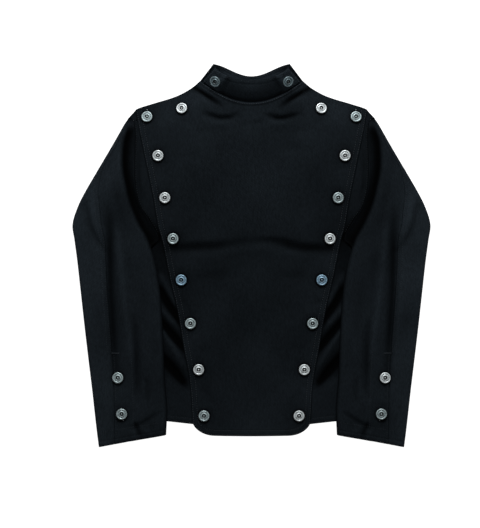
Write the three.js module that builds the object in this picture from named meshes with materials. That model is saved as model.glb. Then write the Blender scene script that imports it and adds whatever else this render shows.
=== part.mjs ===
// A bib-front jacket with a stand collar, lying flat on its back, fastened. Millimetres.
// +X is the wearer's left, +Y runs from hem to collar, +Z is up, and z = 0 is the surface it lies on.
// Both halves are mirror copies, so u below is a distance from the centre line and v is a place along Y.
// Each piece of cloth is a wall between its outer face and a second face one wall inside it.
import * as THREE from "three";

// ---- Driving sizes ----
const WALL = 1.8; // heavy cotton twill, with its turnings
const SEAM_GAP = 0.3; // between two pieces sewn edge to edge
const LAY_GAP = 0.9; // between two curved layers that lie on each other
const LOFT = 8; // how far the front stands off the back
const SIDE_EASE = 60; // width over which the front comes down to the side seam
const SHOULDER_EASE = 50; // and to the shoulder seam
const FRONT_EDGE = 45; // the fronts stop this far from the centre line, under the bib
const BACK_HEM_INSET = 1.5; // the back is this much shorter than the fronts
const MOUTH_TOP = 251; // top of the armhole seam
const UNDERARM = -6; // v where armhole and side seam meet
const CUFF_V = -332; // middle of the cuff edge
const CUFF_SLOPE = -0.194; // the cuff edge drops outwards
const CUFF_MIDDLE = 214.2; // u about which it slopes
const UNDERLAP = 24; // how far the under sleeve runs beneath the cuff vent
const VENT_TOP = -172;
const RIM_RISE = 3.4; // the upper layer is this much higher beside the armhole
const FOLD_HEIGHT = 7.4; // least height of the sleeve's inner fold, over the body
const NECK_HALF = 91.8; // half width of the neck at its seam
const NECK_SIDE = 317.7; // v of the shoulder seam's neck end
const COLLAR = {
  topHalf: 68, // half width at the top edge
  topSide: 343.9, // v of the top edge at the sides
  frontDrop: 28.5, // the top edge dips this far at the front
  backDrop: 19.5,
  baseFrontDrop: 40, // the neck seam's dip at the front
  baseBackDrop: 32,
  baseFrontZ: 14.4,
  baseBackZ: 0.4,
  topFrontZ: 31,
  topBackZ: 13,
  bulge: 2.2, // how far the front swells between its two edges
  frontEnd: 74, // angle at which the front's collar ends
  backStart: 38, // and where the back's begins, beneath it
  coveredTo: 84,
};
const BUTTON = { radius: 10, shank: 4.2, shankHeight: 1.5, height: 4.2 };
const BUTTON_PLAY = 0.5; // the shank stands this far off the cloth
const FRONT_HEM = { v: -301.8, at: 107.1, slope: 0.111 }; // rises outwards from u = at
// The bib's hem sags to its corners, which are rounded from a share of its half width on.
const BIB_HEM = { v: -323.4, sag: 2, cornerFrom: 0.62, cornerRise: 28.6 };
const CUFF_SLOPE_TOP = -230; // the cuff's slope fades out up to here
const OUTER_EASE = 40; // width over which the upper layer rises from the outer fold
const RIM_EASE = { reach: 60, width: 55 }; // and from the flat to the rim at the inner side
const CAP = { plainRim: 180, plainCrease: 200 }; // the rim and the creases fade out above these
const FOLD_ROUND = { share: 0.4, least: 3, most: 5.6 }; // radius of the outer fold

// ---- Tables: a row for each place, columns named ----
const SHOULDER = [
  { u: 0, v: 405 },
  { u: 70, v: 340 },
  { u: 91.8, v: 317.7 },
  { u: 108.9, v: 303.3 },
  { u: 135.9, v: 288.9 },
  { u: 181.8, v: 274.5 },
  { u: 207, v: 266 },
  { u: 213, v: 260 },
  { u: 220, v: 252.5 },
];
const SIDE_SEAM = [
  { v: -310, u: 218 },
  { v: -150, u: 222 },
  { v: -6, u: 235 },
  { v: 60, u: 262 },
  { v: 120, u: 285 },
  { v: 320, u: 300 },
];
const FRONT_ARMHOLE = [
  { v: -6, u: 234.7 },
  { v: -2, u: 218 },
  { v: 5, u: 200 },
  { v: 15, u: 179.5 },
  { v: 28, u: 168 },
  { v: 38, u: 168.3 },
  { v: 65, u: 183.6 },
  { v: 91, u: 200.7 },
  { v: 129, u: 210.2 },
  { v: 228, u: 210.5 },
  { v: 245, u: 213.4 },
  { v: 251, u: 220 },
];
const BACK_ARMHOLE = [
  { v: -6, u: 235 },
  { v: 30, u: 228 },
  { v: 100, u: 221 },
  { v: 200, u: 214 },
  { v: 251, u: 215 },
];
const BIB_EDGE = [
  { v: -293, u: 107 },
  { v: -230, u: 110.7 },
  { v: -167, u: 121.5 },
  { v: -95, u: 134.1 },
  { v: -41, u: 146.7 },
  { v: 28, u: 161 },
  { v: 55, u: 168.5 },
  { v: 110, u: 178 },
  { v: 194, u: 195.3 },
  { v: 265, u: 209.7 },
];
// The sleeve's outer fold, its elbow seam on the upper layer, the inner fold (above the armhole's
// foot this is the rim beside the seam) and the height of the upper layer.
const SLEEVE = [
  { v: 251, outer: 221.5, elbow: 216, inner: 216, top: 7.5 },
  { v: 240, outer: 229, elbow: 223.5, inner: 220, top: 10 },
  { v: 222, outer: 239, elbow: 233, inner: 226, top: 14 },
  { v: 200, outer: 251.5, elbow: 243.5, inner: 231, top: 16.5 },
  { v: 160, outer: 275, elbow: 267, inner: 231.3, top: 17.5 },
  { v: 118, outer: 299.5, elbow: 276, inner: 223.4, top: 17.5 },
  { v: 90, outer: 313.5, elbow: 273, inner: 215.6, top: 17 },
  { v: 58, outer: 323.1, elbow: 270, inner: 202, top: 16.5 },
  { v: 31, outer: 319.7, elbow: 264, inner: 187, top: 16.5 },
  { v: -8, outer: 314.5, elbow: 262, inner: 173.7, top: 16.5 },
  { v: -59, outer: 308.8, elbow: 259.5, inner: 164.7, top: 16.5 },
  { v: -131, outer: 300.8, elbow: 254, inner: 159.3, top: 16 },
  { v: -221, outer: 290, elbow: 248, inner: 155.7, top: 15 },
  { v: -275, outer: 283.2, elbow: 247, inner: 151.5, top: 14 },
  { v: CUFF_V, outer: 275.5, elbow: 246.5, inner: 153.2, top: 13 },
];
// Creases: troughs where depth is above zero, ridges where it is below.
const BODY_FOLDS = [
  { name: "waist", u0: 0, v0: 27, u1: 60, v1: 19, depth: 2, width: 13 },
  { name: "waist side", u0: 60, v0: 19, u1: 150, v1: 14, depth: 2, width: 13 },
  { name: "neck", u0: 100, v0: 304, u1: 58, v1: 274, depth: 2.4, width: 9 },
  { name: "flank high", u0: 160, v0: -70, u1: 135, v1: -115, depth: 2, width: 9 },
  { name: "flank low", u0: 160, v0: -165, u1: 118, v1: -225, depth: 2.2, width: 10 },
];
const SLEEVE_FOLDS = [
  { name: "elbow", u0: 252, v0: 66, u1: 247, v1: -196, depth: 2.4, width: 10 },
  { name: "elbow arc", u0: 297, v0: 84, u1: 264, v1: 14, depth: 1.8, width: 13 },
  { name: "forearm", u0: 209, v0: -120, u1: 207, v1: -240, depth: 1.8, width: 9 },
];
const BUTTON_PLACES = [
  { name: "shoulder_inner", u: 125.3, v: 266.2 },
  { name: "shoulder_outer", u: 188.1, v: 251.1 },
  { name: "bib_1", u: 168.1, v: 181.2 },
  { name: "bib_2", u: 155.8, v: 105.5 },
  { name: "bib_3", u: 141.1, v: 31.9 },
  { name: "bib_4", u: 126.3, v: -42.3 },
  { name: "bib_5", u: 109.8, v: -120.5 },
  { name: "bib_6", u: 94.9, v: -203.4 },
  { name: "bib_7", u: 85.3, v: -286.5 },
];
const CUFF_BUTTON_PLACES = [
  { name: "cuff_upper", u: 240.0, v: -218.1 },
  { name: "cuff_lower", u: 233.4, v: -283.1 },
];
// The sleeve dips between the armhole seam and the rim, above v = foot.
const VALLEY = { lowest: 4.8, floor: 8.6, foot: 25 };
// Columns down the valley: a share of its width out from the rim, and of its height off the floor.
const VALLEY_COLUMNS = [
  { out: 0.1, up: 0.93 },
  { out: -0.08, up: 0.66 },
  { out: -0.3, up: 0.12 },
  { out: -0.65, up: 0 },
];
// Columns round the inner fold: a distance out from it, and a share of the way down to its middle.
const FOLD_COLUMNS = [
  { out: 4.6, down: 0.06 },
  { out: 2.4, down: 0.24 },
  { out: 0.8, down: 0.48 },
  { out: 0, down: 0.76 },
];
const COLLAR_BUTTON = { angle: 52.8, share: 0.44 };

// ---- Small helpers ----
const clamp = (x, low, high) => Math.min(high, Math.max(low, x));
const mix = (a, b, t) => a + (b - a) * t;
function ease(from, to, x) {
  const t = clamp((x - from) / (to - from), 0, 1);
  return t * t * (3 - 2 * t);
}

// A smooth curve through a table's rows, read by one column and giving another.
function through(table, by, column) {
  const rows = [...table].sort((a, b) => a[by] - b[by]);
  const slope = (i) => {
    const before = rows[Math.max(i - 1, 0)];
    const after = rows[Math.min(i + 1, rows.length - 1)];
    return (after[column] - before[column]) / (after[by] - before[by]);
  };
  return (x) => {
    const at = clamp(x, rows[0][by], rows[rows.length - 1][by]);
    let i = 0;
    while (i < rows.length - 2 && at > rows[i + 1][by]) i += 1;
    const span = rows[i + 1][by] - rows[i][by];
    const t = (at - rows[i][by]) / span;
    const bend = t * (1 - t) * span;
    const rise = (rows[i + 1][column] - rows[i][column]) / span;
    const straight = mix(rows[i][column], rows[i + 1][column], t);
    return straight + bend * ((1 - t) * (slope(i) - rise) - t * (slope(i + 1) - rise));
  };
}

// How deep the creases of a table are at (u, v).
function creased(table, u, v) {
  return table.reduce((sum, fold) => {
    const du = fold.u1 - fold.u0;
    const dv = fold.v1 - fold.v0;
    const along = clamp(((u - fold.u0) * du + (v - fold.v0) * dv) / (du * du + dv * dv), 0, 1);
    const off = Math.hypot(u - fold.u0 - along * du, v - fold.v0 - along * dv);
    return sum + fold.depth * Math.exp(-((off / fold.width) ** 2));
  }, 0);
}

// A closed wall from a grid of points on its outer face. The inner face lies one wall inside, or
// straight below where the piece lies flat. Quads that keep() turns down are left out.
function sheet(grid, { straightDown = false, keep = () => true } = {}) {
  const rows = grid.length - 1;
  const cols = grid[0].length - 1;
  const kept = (i, j) => i >= 0 && j >= 0 && i < rows && j < cols && keep(i, j);
  const facing = (i, j) => {
    const fall = grid[i + 1][j + 1].clone().sub(grid[i][j]);
    return fall.cross(grid[i][j + 1].clone().sub(grid[i + 1][j])).normalize();
  };
  const outward = (i, j) => {
    const sum = new THREE.Vector3();
    for (const di of [-1, 0]) {
      for (const dj of [-1, 0]) {
        if (kept(i + di, j + dj)) sum.add(facing(i + di, j + dj));
      }
    }
    return straightDown ? sum.set(0, 0, 1) : sum.normalize();
  };
  const inner = grid.map((row, i) =>
    row.map((p, j) => p.clone().addScaledVector(outward(i, j), -WALL)),
  );
  const corners = [];
  // The diagonal is mirrored across the centre line, so that both halves get the same facets.
  const quad = (a, b, c, d) => {
    if (a.x + c.x < 0) corners.push(b, c, d, b, d, a);
    else corners.push(a, b, c, a, c, d);
  };
  for (let i = 0; i < rows; i += 1) {
    for (let j = 0; j < cols; j += 1) {
      if (!kept(i, j)) continue;
      quad(grid[i][j], grid[i + 1][j], grid[i + 1][j + 1], grid[i][j + 1]);
      quad(inner[i][j], inner[i][j + 1], inner[i + 1][j + 1], inner[i + 1][j]);
      const rim = (ai, aj, bi, bj) => quad(grid[ai][aj], inner[ai][aj], inner[bi][bj], grid[bi][bj]);
      if (!kept(i, j - 1)) rim(i, j, i + 1, j);
      if (!kept(i + 1, j)) rim(i + 1, j, i + 1, j + 1);
      if (!kept(i, j + 1)) rim(i + 1, j + 1, i, j + 1);
      if (!kept(i - 1, j)) rim(i, j + 1, i, j);
    }
  }
  return new THREE.BufferGeometry().setFromPoints(corners);
}

// ---- The body's form ----
const shoulderLine = through(SHOULDER, "u", "v");
const sideSeam = through(SIDE_SEAM, "v", "u");
const frontArmhole = through(FRONT_ARMHOLE, "v", "u");
const backArmhole = through(BACK_ARMHOLE, "v", "u");
const bibEdge = through(BIB_EDGE, "v", "u");
const neckSeam = (u, drop) => NECK_SIDE - drop * (1 - (u / NECK_HALF) ** 2);
const frontTop = (u) => (u < NECK_HALF ? neckSeam(u, COLLAR.baseFrontDrop) : shoulderLine(u));
const frontHem = (u) => FRONT_HEM.v + (u - FRONT_HEM.at) * FRONT_HEM.slope;

// Underside of the fronts at (u, v), and the faces of the layers over them.
function frontUnder(u, v) {
  const fromSide = ease(0, SIDE_EASE, sideSeam(v) - u);
  const fromShoulder = ease(0, SHOULDER_EASE, shoulderLine(u) - v);
  const loft = fromSide * fromShoulder;
  return WALL + SEAM_GAP + loft * (LOFT - creased(BODY_FOLDS, u, v));
}
const frontFace = (u, v) => frontUnder(u, v) + WALL;
const bibFace = (u, v) => frontFace(Math.abs(u), v) + LAY_GAP + WALL;

const BACK_SIDE_ROWS = [-50, -100, -150, -220];
const BACK_HEM_COLUMNS = [218, 110, 0];

function backGeometry() {
  const outline = new THREE.Shape();
  const half = [];
  const steps = 12;
  for (let k = 0; k <= steps; k += 1) {
    const u = (NECK_HALF * k) / steps;
    half.push([u, neckSeam(u, COLLAR.baseBackDrop)]);
  }
  for (const { u, v } of SHOULDER.filter((row) => row.u > NECK_HALF)) half.push([u, v]);
  for (let k = 0; k <= steps; k += 1) {
    const v = mix(MOUTH_TOP, UNDERARM, k / steps);
    half.push([backArmhole(v) - SEAM_GAP, v]);
  }
  for (const v of BACK_SIDE_ROWS) half.push([sideSeam(v), v]);
  for (const u of BACK_HEM_COLUMNS) half.push([u, frontHem(u) + BACK_HEM_INSET]);
  half.forEach(([u, v], k) => (k ? outline.lineTo(u, v) : outline.moveTo(u, v)));
  for (const [u, v] of half.slice(1, -1).reverse()) outline.lineTo(-u, v);
  return new THREE.ExtrudeGeometry(outline, { depth: WALL, bevelEnabled: false });
}

// Rows of a front or of the bib: from its top edge to its hem, level in between.
const BODY_ROWS = [
  245, 222, 200, 170, 139, 110, 84, 58, 38, 28, 15, 5, -2, -6, -30, -60, -95, -130, -165, -200, -235, -270,
];
const NECK_ROWS = [1, 0.5];
// Rows that would fall below a rounded hem are squeezed in just above it.
const SQUEEZE = { from: -310, share: 0.1 };

function panelRows(top, hem) {
  const near = NECK_ROWS.map((share) => mix(BODY_ROWS[0], top, share));
  const aboveHem = (v) => Math.max(v, hem + (v - SQUEEZE.from) * SQUEEZE.share);
  return [...near, ...BODY_ROWS.map(aboveHem), hem];
}

// A panel's grid. The sides depend on v and the top and hem on u, so each place is found in a few
// passes.
function panelGrid(shares, { sideAt, topAt, hemAt, face }) {
  const passes = 6;
  const rowCount = NECK_ROWS.length + BODY_ROWS.length + 1;
  return Array.from({ length: rowCount }, (_, i) =>
    shares.map((share) => {
      let u = sideAt(0, share);
      let v = 0;
      for (let pass = 0; pass < passes; pass += 1) {
        v = panelRows(topAt(u), hemAt(u, share))[i];
        u = sideAt(v, share);
      }
      return new THREE.Vector3(u, v, face(u, v));
    }),
  );
}

function frontGeometry() {
  const shares = [0, 0.14, 0.28, 0.42, 0.56, 0.7, 0.84, 1];
  const edge = (v) => (v > UNDERARM ? frontArmhole(v) : sideSeam(v)) - SEAM_GAP;
  const grid = panelGrid(shares, {
    sideAt: (v, share) => mix(FRONT_EDGE, edge(v), share),
    topAt: (u) => Math.min(frontTop(u), NECK_SIDE - SEAM_GAP),
    hemAt: frontHem,
    face: frontFace,
  });
  return sheet(grid, { straightDown: true });
}

function bibHem(u, share) {
  const { v, sag, cornerFrom, cornerRise } = BIB_HEM;
  const corner = Math.max(Math.abs(share) - cornerFrom, 0) / (1 - cornerFrom);
  return v + sag * share * share + cornerRise * (1 - Math.sqrt(1 - corner * corner));
}

function bibGeometry() {
  const half = [0.12, 0.24, 0.34, 0.438, 0.52, 0.62, 0.72, 0.82, 0.92, 0.98, 1];
  const shares = [...half.map((s) => -s).reverse(), 0, ...half];
  const grid = panelGrid(shares, {
    sideAt: (v, share) => share * bibEdge(v),
    topAt: (u) => frontTop(Math.abs(u)),
    hemAt: bibHem,
    face: bibFace,
  });
  return sheet(grid, { straightDown: true });
}

// ---- Sleeves ----
const sleeveOuter = through(SLEEVE, "v", "outer");
const sleeveElbow = through(SLEEVE, "v", "elbow");
const sleeveInner = through(SLEEVE, "v", "inner");
const sleeveTop = through(SLEEVE, "v", "top");
function outerRound(v) {
  const { share, least, most } = FOLD_ROUND;
  return clamp((sleeveOuter(v) - sleeveInner(v)) * share, least, most);
}

// Underside of a sleeve where it lies on the body's side.
const overBody = (u, v) => frontFace(u, v) + LAY_GAP;
// Height at which it rests on the body beside its inner fold.
const foldRest = (v) => overBody(sleeveInner(v) + 4, v);

// The upper layer's outer face, away from its two folds.
function sleeveFace(u, v) {
  const round = outerRound(v);
  const outside = ease(0, OUTER_EASE, sleeveOuter(v) - round - u);
  const height = mix(2 * round, sleeveTop(v), outside);
  const fromRim = RIM_EASE.reach + sleeveInner(v) - u;
  const inside = ease(0, RIM_EASE.width, fromRim) * ease(MOUTH_TOP, CAP.plainRim, v);
  const rim = Math.max(height + RIM_RISE, v < VALLEY.foot ? foldRest(v) + FOLD_HEIGHT : 0);
  return mix(height, rim, inside) - creased(SLEEVE_FOLDS, u, v) * ease(MOUTH_TOP, CAP.plainCrease, v);
}

// The slope of the cuff edge fades out up the forearm.
const slanted = (u, v) => v + CUFF_SLOPE * (u - CUFF_MIDDLE) * ease(CUFF_SLOPE_TOP, CUFF_V, v);

const RIM_PLACE = 8; // the rim's height is taken this far out from the inner side
const SLEEVE_ROWS = [
  246, 237, 222, 200, 170, 139, 110, 84, 58, 38, 28, 15, -6, -32, -65, -100, -138, -172, -200, -230,
  -265, -300, CUFF_V,
];

// The last columns of the upper layer: down the rim, along the valley and up to the armhole seam,
// or, below the armhole, round the inner fold to its middle.
function innerColumns(v) {
  const inner = sleeveInner(v);
  const rim = sleeveFace(inner + RIM_PLACE, v);
  if (v > VALLEY.foot) {
    const seam = frontArmhole(v);
    const seamZ = Math.max(frontFace(seam, v), VALLEY.lowest);
    const floor = clamp(seamZ, VALLEY.lowest, VALLEY.floor);
    const down = VALLEY_COLUMNS.map((c) => [inner + (inner - seam) * c.out, mix(floor, rim, c.up)]);
    return [...down, [seam + WALL * 0.7, seamZ]];
  }
  const fold = (rim - foldRest(v)) / 2;
  const round = FOLD_COLUMNS.map((c) => [inner + c.out, rim - fold * c.down]);
  return [...round, [inner, rim - fold + SEAM_GAP / 2]];
}

function sleeveTopGeometry() {
  const shares = [0, 0.13, 0.27, 0.42, 0.58, 0.74, 0.88, 1];
  const grid = SLEEVE_ROWS.map((v) => {
    const start = sleeveElbow(v) - SEAM_GAP;
    const end = Math.min(sleeveInner(v) + RIM_PLACE, mix(start, sleeveInner(v), 0.5));
    const flat = shares.map((share) => {
      const u = mix(start, end, share);
      return [u, sleeveFace(u, v)];
    });
    const columns = [...flat, ...innerColumns(v)].reverse();
    return columns.map(([u, z]) => new THREE.Vector3(u, slanted(u, v), z));
  });
  return sheet(grid);
}

function sleeveUnderGeometry() {
  const lapShares = [1, 0.5];
  const flatShares = [0, 0.35, 0.7, 1];
  const arc = [18, 50, 90, 130, 162];
  const floorShares = [0, 0.33, 0.66, 1];
  const risingShares = [0, 0.2, 0.45, 0.72, 1];
  const sideLap = 12; // the under sleeve meets the table this far out from the side seam
  const grid = SLEEVE_ROWS.map((v) => {
    const round = outerRound(v);
    const outer = sleeveOuter(v);
    const elbow = sleeveElbow(v);
    const lapFace = (u) => sleeveFace(u, v) - WALL - SEAM_GAP;
    const lap = lapShares.map((share) => {
      const u = elbow - SEAM_GAP - UNDERLAP * share;
      return [u, lapFace(u)];
    });
    // The seam edge steps under the vent below the vent's top.
    const stepped = v <= VENT_TOP ? WALL + SEAM_GAP : 0;
    const flat = flatShares.map((share) => {
      const u = mix(elbow, Math.max(outer - round - 1, elbow + 0.2), share);
      return [u, sleeveFace(u, v) - (share === 0 ? stepped : 0)];
    });
    const turned = arc.map((angle) => {
      const a = (angle * Math.PI) / 180;
      return [outer - round + round * Math.sin(a), round + round * Math.cos(a)];
    });
    const foot = v > UNDERARM ? backArmhole(v) : sideSeam(v) + sideLap;
    const start = outer - round - 0.5;
    const floor = floorShares.map((share) => [mix(start, Math.min(foot, start - 0.4), share), 0]);
    const inner = sleeveInner(v);
    const fold = (sleeveFace(inner + RIM_PLACE, v) - foldRest(v)) / 2;
    const rising = risingShares.map((share) => {
      const u = mix(sideSeam(v) + 1, inner + 5, share);
      return [u, overBody(u, v)];
    });
    const turnedIn = [
      [inner + 2, foldRest(v) + fold * 0.2],
      [inner, foldRest(v) + fold * 0.6],
      [inner, foldRest(v) + fold - SEAM_GAP / 2],
    ];
    return [...lap, ...flat, ...turned, ...floor, ...rising, ...turnedIn].map(
      ([u, z]) => new THREE.Vector3(u, slanted(u, v), z),
    );
  });
  // Above the armhole's foot the columns over the body, three of them turned in, are left out.
  const firstOverBody = grid[0].length - 1 - (risingShares.length + 3);
  const keep = (i, j) => {
    if (j < lapShares.length) return SLEEVE_ROWS[i] <= VENT_TOP;
    return j < firstOverBody || SLEEVE_ROWS[i] <= UNDERARM;
  };
  return sheet(grid, { keep });
}

// ---- Collar ----
// A point of the collar's outer face: angle 0 is the front, 180 the back; share 0 is the neck seam
// and 1 the top edge.
function collarPoint(angle, share) {
  const a = (angle * Math.PI) / 180;
  const c = Math.cos(a);
  const front = c > 0 ? 1 : 0;
  const side = Math.abs(c);
  const baseDrop = front ? COLLAR.baseFrontDrop : COLLAR.baseBackDrop;
  const topDip = front ? COLLAR.frontDrop * side : COLLAR.backDrop * side ** 4.4;
  const level = ease(-1, 1, c);
  const base = new THREE.Vector3(
    (NECK_HALF - 1) * Math.sin(a),
    NECK_SIDE - baseDrop * c * c + (front ? 1 : 0.6),
    mix(COLLAR.baseBackZ, COLLAR.baseFrontZ, level),
  );
  const top = new THREE.Vector3(
    COLLAR.topHalf * Math.sin(a),
    COLLAR.topSide - topDip,
    mix(COLLAR.topBackZ, COLLAR.topFrontZ, ease(-1, 0, c)),
  );
  const point = base.lerp(top, share);
  point.z += COLLAR.bulge * Math.sin(Math.PI * share) * Math.max(c, 0);
  return point;
}

function collarGrid(from, to, steps, inset) {
  const shares = [1, 0.75, 0.5, 0.25, 0];
  return shares.map((share) => {
    const row = [];
    for (let k = 0; k <= steps; k += 1) {
      const angle = mix(from, to, k / steps);
      const point = collarPoint(angle, share);
      const along = collarPoint(angle + 1, share).sub(collarPoint(angle - 1, share));
      const up = collarPoint(angle, share + 0.01).sub(collarPoint(angle, share - 0.01));
      const outward = along.cross(up).normalize();
      const covered = Math.min(angle, 360 - angle) < COLLAR.coveredTo ? inset : 0;
      row.push(point.addScaledVector(outward, -covered));
    }
    return row;
  });
}

const collarFrontGeometry = () => sheet(collarGrid(-COLLAR.frontEnd, COLLAR.frontEnd, 22, 0));
const collarBackGeometry = () =>
  sheet(collarGrid(COLLAR.backStart, 360 - COLLAR.backStart, 32, WALL + LAY_GAP));

// ---- Buttons ----
function buttonGeometry() {
  const { radius, shank, shankHeight, height } = BUTTON;
  const profile = [
    [0, 0],
    [shank, 0],
    [shank, shankHeight],
    [radius, shankHeight + 0.3],
    [radius * 0.92, height - 0.3],
    [radius * 0.62, height - 0.9],
    [0, height - 0.6],
  ];
  const points = profile.map(([r, z]) => new THREE.Vector2(r, z));
  return new THREE.LatheGeometry(points, 10).rotateX(Math.PI / 2);
}

// Sets a button on a face, leaning with it.
function seat(button, face, u, v) {
  const reach = 4;
  const slopeU = (face(u + reach, v) - face(u - reach, v)) / (2 * reach);
  const slopeV = (face(u, v + reach) - face(u, v - reach)) / (2 * reach);
  const normal = new THREE.Vector3(-slopeU, -slopeV, 1).normalize();
  button.quaternion.setFromUnitVectors(new THREE.Vector3(0, 0, 1), normal);
  button.position.set(u, v, face(u, v)).addScaledVector(normal, BUTTON_PLAY);
  return button;
}

// ---- The jacket ----
const twill = (name) =>
  new THREE.MeshStandardMaterial({ name, color: 0x16191c, roughness: 0.92, metalness: 0 });
const metal = () => new THREE.MeshStandardMaterial({ color: 0x8a9498, roughness: 0.4, metalness: 0.9 });

function cloth(name, geometry) {
  const mesh = new THREE.Mesh(geometry, twill("black twill"));
  mesh.name = name;
  return mesh;
}

const jacket = new THREE.Group();
jacket.add(cloth("back", backGeometry()));
jacket.add(cloth("bib", bibGeometry()));
jacket.add(cloth("collar_back", collarBackGeometry()));
jacket.add(cloth("collar_front", collarFrontGeometry()));

for (const [side, mirror] of [
  ["left", 1],
  ["right", -1],
]) {
  const half = new THREE.Group();
  half.scale.x = mirror;
  half.add(cloth(`front_${side}`, frontGeometry()));
  half.add(cloth(`sleeve_${side}_top`, sleeveTopGeometry()));
  half.add(cloth(`sleeve_${side}_under`, sleeveUnderGeometry()));
  const add = (place, face) => {
    const button = new THREE.Mesh(buttonGeometry(), metal());
    button.name = `button_${side}_${place.name}`;
    half.add(seat(button, face, place.u, place.v));
  };
  for (const place of BUTTON_PLACES) add(place, bibFace);
  for (const place of CUFF_BUTTON_PLACES) add(place, sleeveFace);
  const collarButton = new THREE.Mesh(buttonGeometry(), metal());
  collarButton.name = `button_${side}_collar`;
  const { angle, share } = COLLAR_BUTTON;
  const along = collarPoint(angle + 3, share).sub(collarPoint(angle - 3, share));
  const up = collarPoint(angle, share + 0.1).sub(collarPoint(angle, share - 0.1));
  const outward = along.cross(up).normalize();
  collarButton.quaternion.setFromUnitVectors(new THREE.Vector3(0, 0, 1), outward);
  collarButton.position.copy(collarPoint(angle, share)).addScaledVector(outward, BUTTON_PLAY + 0.1);
  half.add(collarButton);
  jacket.add(half);
}

export default jacket;
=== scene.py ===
# %% [markdown]
# # A bib-front jacket, laid flat
# The construction of the jacket comes ready made, as a frame of plain solids with true sizes.
# This lesson dresses that frame: every cloth piece becomes a fine shell with its creases, every
# seam gets its thread, and every button its turned metal. A jacket like this could be simulated,
# but cloth that lies still on a table is easier to direct: a height for each place, with
# creases added as soft troughs, is exact, quick and the same on each run.

# %% Load the frame
import math

import bpy
import numpy as np
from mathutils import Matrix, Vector


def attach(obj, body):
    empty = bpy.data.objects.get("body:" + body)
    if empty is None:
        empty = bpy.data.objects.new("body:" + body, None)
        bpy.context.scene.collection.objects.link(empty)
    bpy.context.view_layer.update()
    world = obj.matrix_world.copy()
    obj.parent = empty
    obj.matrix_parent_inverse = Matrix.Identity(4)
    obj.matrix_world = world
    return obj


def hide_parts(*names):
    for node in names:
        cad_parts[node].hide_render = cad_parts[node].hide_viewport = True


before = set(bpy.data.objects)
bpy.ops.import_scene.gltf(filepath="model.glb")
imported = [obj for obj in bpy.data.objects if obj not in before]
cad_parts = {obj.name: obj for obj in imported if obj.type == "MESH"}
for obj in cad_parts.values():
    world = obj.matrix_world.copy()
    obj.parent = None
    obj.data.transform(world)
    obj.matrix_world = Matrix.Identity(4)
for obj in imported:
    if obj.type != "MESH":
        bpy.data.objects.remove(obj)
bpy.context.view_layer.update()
MM = 0.001

# %% [markdown]
# ## Sizes and tables
# A tailor works from a draft: half of the garment, since both halves mirror each other. Here u is
# the distance from the centre line and v the place along the length, both in millimetres. The
# tables hold the edges that a cutter would chalk. A smooth curve is run through each table, which
# needs far fewer points than an outline traced by hand.

# %% Edges of the pieces
WALL = 1.8
SEAM_GAP = 0.3
LAY_GAP = 0.9
LOFT = 8.0
SIDE_EASE = 60.0
SHOULDER_EASE = 50.0
FRONT_EDGE = 45.0
UNDERARM = -6.0
NECK_HALF = 91.8
NECK_SIDE = 317.7
CUFF_V = -332.0
CUFF_SLOPE = -0.194
CUFF_MIDDLE = 214.2
VENT_TOP = -172.0
UNDERLAP = 24.0
RIM_RISE = 3.4
FOLD_HEIGHT = 7.4
SHOULDER = [
    (0, 405), (70, 340), (91.8, 317.7), (108.9, 303.3), (135.9, 288.9), (181.8, 274.5),
    (207, 266), (213, 260), (220, 252.5),
]
SIDE_SEAM = [(-310, 218), (-150, 222), (-6, 235), (60, 262), (120, 285), (320, 300)]
FRONT_ARMHOLE = [
    (-6, 234.7), (-2, 218), (5, 200), (15, 179.5), (28, 168), (38, 168.3), (65, 183.6), (91, 200.7),
    (129, 210.2), (228, 210.5), (245, 213.4), (251, 220),
]
BACK_ARMHOLE = [(-6, 235), (30, 228), (100, 221), (200, 214), (251, 215)]
BIB_EDGE = [
    (-293, 107), (-230, 110.7), (-167, 121.5), (-95, 134.1), (-41, 146.7), (28, 161), (55, 168.5),
    (110, 178), (194, 195.3), (265, 209.7),
]
# v, outer fold, elbow seam, inner fold or rim, height of the upper layer
SLEEVE = [
    (251, 221.5, 216, 216, 7.5), (240, 229, 223.5, 220, 10), (222, 239, 233, 226, 14),
    (200, 251.5, 243.5, 231, 16.5), (160, 275, 267, 231.3, 17.5), (118, 299.5, 276, 223.4, 17.5),
    (90, 313.5, 273, 215.6, 17), (58, 323.1, 270, 202, 16.5), (31, 319.7, 264, 187, 16.5),
    (-8, 314.5, 262, 173.7, 16.5), (-59, 308.8, 259.5, 164.7, 16.5), (-131, 300.8, 254, 159.3, 16),
    (-221, 290, 248, 155.7, 15), (-275, 283.2, 247, 151.5, 14), (CUFF_V, 275.5, 246.5, 153.2, 13),
]


def ease(start, end, x):
    """0 before start, 1 after end, and a soft step in between."""
    t = np.clip((np.asarray(x, float) - start) / (end - start), 0, 1)
    return t * t * (3 - 2 * t)


def through(rows, column=1):
    """A smooth curve through the rows of a table, read by its first column."""
    rows = sorted(rows)
    x = np.array([r[0] for r in rows], float)
    y = np.array([r[column] for r in rows], float)
    slope = np.gradient(y, x)
    slope[1:-1] = (y[2:] - y[:-2]) / (x[2:] - x[:-2])

    def curve(at):
        at = np.clip(np.asarray(at, float), x[0], x[-1])
        i = np.clip(np.searchsorted(x, at) - 1, 0, len(x) - 2)
        span = x[i + 1] - x[i]
        t = (at - x[i]) / span
        rise = (y[i + 1] - y[i]) / span
        bend = t * (1 - t) * span
        line = y[i] + (y[i + 1] - y[i]) * t
        return line + bend * ((1 - t) * (slope[i] - rise) - t * (slope[i + 1] - rise))

    return curve


shoulder_line = through(SHOULDER)
side_seam = through(SIDE_SEAM)
front_armhole = through(FRONT_ARMHOLE)
back_armhole = through(BACK_ARMHOLE)
bib_edge = through(BIB_EDGE)
outer_row, elbow_row, inner_row, sleeve_height = (through(SLEEVE, k) for k in (1, 2, 3, 4))


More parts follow.
